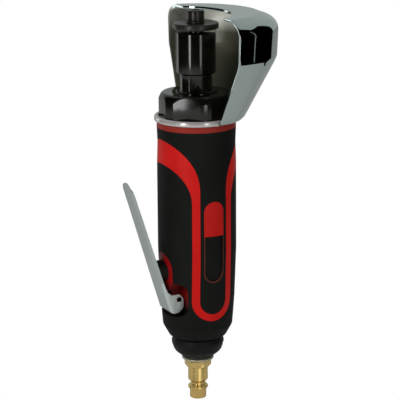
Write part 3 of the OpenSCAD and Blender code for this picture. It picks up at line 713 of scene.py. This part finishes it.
# a plain pale floor; the camera sees it as white, the tool is lit by the paint
floor_mat, floor_nt, floor_b = principled("floor_paint", (0.9, 0.9, 0.9), 0.9, specular=0.05)
tint(floor_nt, noise(floor_nt, 3), floor_b.inputs["Base Color"], (0.68, 0.69, 0.67), (0.71, 0.72, 0.70))
floor_out = floor_nt.nodes["Material Output"]
white = node(floor_nt, "ShaderNodeEmission", Color=(1, 1, 1, 1), Strength=1.0)
path = floor_nt.nodes.new("ShaderNodeLightPath")
mix = floor_nt.nodes.new("ShaderNodeMixShader")
floor_nt.links.new(path.outputs["Is Camera Ray"], mix.inputs["Fac"])
floor_nt.links.new(floor_b.outputs["BSDF"], mix.inputs[1])
floor_nt.links.new(white.outputs["Emission"], mix.inputs[2])
floor_nt.links.new(mix.outputs["Shader"], floor_out.inputs["Surface"])
stage_plane("floor", floor_mat, (9000, 9000), (0, 0, -0.05))

card_mat, _, _ = principled("card_black", (0.0, 0.0, 0.0), 1.0, specular=0.0)


def glow(name, strength, color=(1, 1, 1)):
    mat = bpy.data.materials.new(name)
    mat.use_nodes = True
    nt = mat.node_tree
    nt.nodes.clear()
    out = nt.nodes.new("ShaderNodeOutputMaterial")
    em = node(nt, "ShaderNodeEmission", Color=(*color, 1), Strength=strength)
    nt.links.new(em.outputs["Emission"], out.inputs["Surface"])
    return mat


def card(name, az0, az1, z0, z1, radius=850, material=None, inner=None):
    """A curved card round the camera's side that only reflections see, leaning in to the inner radius."""
    n = 12
    verts, faces = [], []
    for i in range(n + 1):
        az = az0 + (az1 - az0) * i / n
        verts += [around(az, inner or radius, z0), around(az, radius, z1)]
    for i in range(n):
        faces.append((2 * i, 2 * i + 2, 2 * i + 3, 2 * i + 1))
    ob = mesh_object(name, verts, faces)
    ob.data.materials.append(material or card_mat)
    ob.visible_camera = False
    ob.visible_diffuse = False
    ob.visible_shadow = False
    ob.visible_transmission = False
    return ob


# what the polished pieces mirror: a dark card on the camera's side, with glowing strips before it
card("card_front", -118, 132, -1, 900)
card("strip_left", -40, -30, 5, 480, 840, glow("strip_left_glow", 7.0))
card("strip_right", 24, 34, 5, 480, 840, glow("strip_right_glow", 3.3))
card("strip_edge", -134, -123, 5, 300, 840, glow("strip_edge_glow", 1.6))
card("card_high", 35, 100, 880, 2200)
# small cards round the plug, which otherwise mirrors only the floor
plug_dim = glow("plug_dim", 0.3)
card("plug_light", 6, 28, 0.1, 19, 16, glow("plug_glow", 1.15))
card("plug_dark_left", -52, -28, 0.1, 19, 16, plug_dim)
card("plug_dark_right", 46, 64, 0.1, 19, 16, plug_dim)
card("strip_line", 88, 89.4, 5, 700, 838, glow("strip_line_glow", 0.35))
card("card_low", 60, 128, 0.2, 0.4, 850, inner=400)

# the studio as the polished pieces see it: pale behind and above, dark on the camera's side
world = bpy.data.worlds.new("studio")
bpy.context.scene.world = world
world.use_nodes = True
wt = world.node_tree
wt.nodes.clear()
w_out = wt.nodes.new("ShaderNodeOutputWorld")
coord = wt.nodes.new("ShaderNodeTexCoord")
facing = node(wt, "ShaderNodeVectorMath", operation="DOT_PRODUCT")
az = math.radians(CAMERA_AZ)
facing.inputs[1].default_value = (math.sin(az), -math.cos(az), 0.35)
wt.links.new(coord.outputs["Generated"], facing.inputs[0])
shade_ramp = wt.nodes.new("ShaderNodeValToRGB")
shade_ramp.color_ramp.elements[0].position = 0.0
shade_ramp.color_ramp.elements[0].color = (0.40, 0.43, 0.42, 1)
shade_ramp.color_ramp.elements[1].position = 0.42
shade_ramp.color_ramp.elements[1].color = (0.03, 0.03, 0.022, 1)
wt.links.new(facing.outputs["Value"], shade_ramp.inputs["Fac"])
bg_glossy = node(wt, "ShaderNodeBackground", Strength=1.0)
wt.links.new(shade_ramp.outputs["Color"], bg_glossy.inputs["Color"])
bg_diffuse = node(wt, "ShaderNodeBackground", Color=(1, 1, 1, 1), Strength=0.35)
bg_camera = node(wt, "ShaderNodeBackground", Color=(1, 1, 1, 1), Strength=1.0)
w_path = wt.nodes.new("ShaderNodeLightPath")
w_mix = wt.nodes.new("ShaderNodeMixShader")
w_mix2 = wt.nodes.new("ShaderNodeMixShader")
wt.links.new(w_path.outputs["Is Glossy Ray"], w_mix.inputs["Fac"])
wt.links.new(bg_diffuse.outputs["Background"], w_mix.inputs[1])
wt.links.new(bg_glossy.outputs["Background"], w_mix.inputs[2])
wt.links.new(w_path.outputs["Is Camera Ray"], w_mix2.inputs["Fac"])
wt.links.new(w_mix.outputs["Shader"], w_mix2.inputs[1])
wt.links.new(bg_camera.outputs["Background"], w_mix2.inputs[2])
wt.links.new(w_mix2.outputs["Shader"], w_out.inputs["Surface"])


def softbox(name, azimuth, radius, height, width, tall, power, aim=(0, 0, 120), glossy=False):
    light = bpy.data.lights.new(name, "AREA")
    light.shape = "RECTANGLE"
    light.size = width * MM
    light.size_y = tall * MM
    light.energy = power
    ob = bpy.data.objects.new(name, light)
    bpy.context.scene.collection.objects.link(ob)
    ob.location = Vector(around(azimuth, radius, height)) * MM
    d = Vector(aim) * MM - ob.location
    ob.rotation_euler = d.to_track_quat("-Z", "Y").to_euler()
    ob.visible_glossy = glossy
    return ob


softbox("key", -38, 1300, 850, 700, 700, 10)
# a low light that falls on the guard alone
kicker = softbox("kicker", 4, 520, 30, 160, 60, 3.0, aim=(10, 10, 228))
lit = bpy.data.collections.new("kicker_lights")
lit.objects.link(bpy.data.objects["guard_shell"])
kicker.light_linking.receiver_collection = lit
softbox("fill", 26, 1400, 700, 700, 900, 4.5)

# camera, at the photograph's viewing angle
CAM_DISTANCE = 1120.0
CAM_HEIGHT = 403.0
CAM_PITCH = -14.0
CAM_ROLL = -0.36
CAM_LENS = 174.0
cam = bpy.data.cameras.new("camera")
cam.lens = CAM_LENS
cam.sensor_width = 36
cam.clip_start = 0.05
cam.clip_end = 50
cam_ob = bpy.data.objects.new("camera", cam)
bpy.context.scene.collection.objects.link(cam_ob)
az = math.radians(CAMERA_AZ)
right = Vector((math.cos(az), math.sin(az), 0))
cam_ob.location = (Vector(around(0, CAM_DISTANCE, CAM_HEIGHT)) + right * AXIS_SHIFT) * MM
cam_ob.rotation_euler = (
    Matrix.Rotation(az, 4, "Z") @ turn("X", 90 + CAM_PITCH) @ turn("Z", CAM_ROLL)
).to_euler()
bpy.context.scene.camera = cam_ob

bpy.context.scene.view_settings.view_transform = "Standard"
bpy.context.scene.view_settings.look = "None"
bpy.context.scene.view_settings.exposure = 0.0
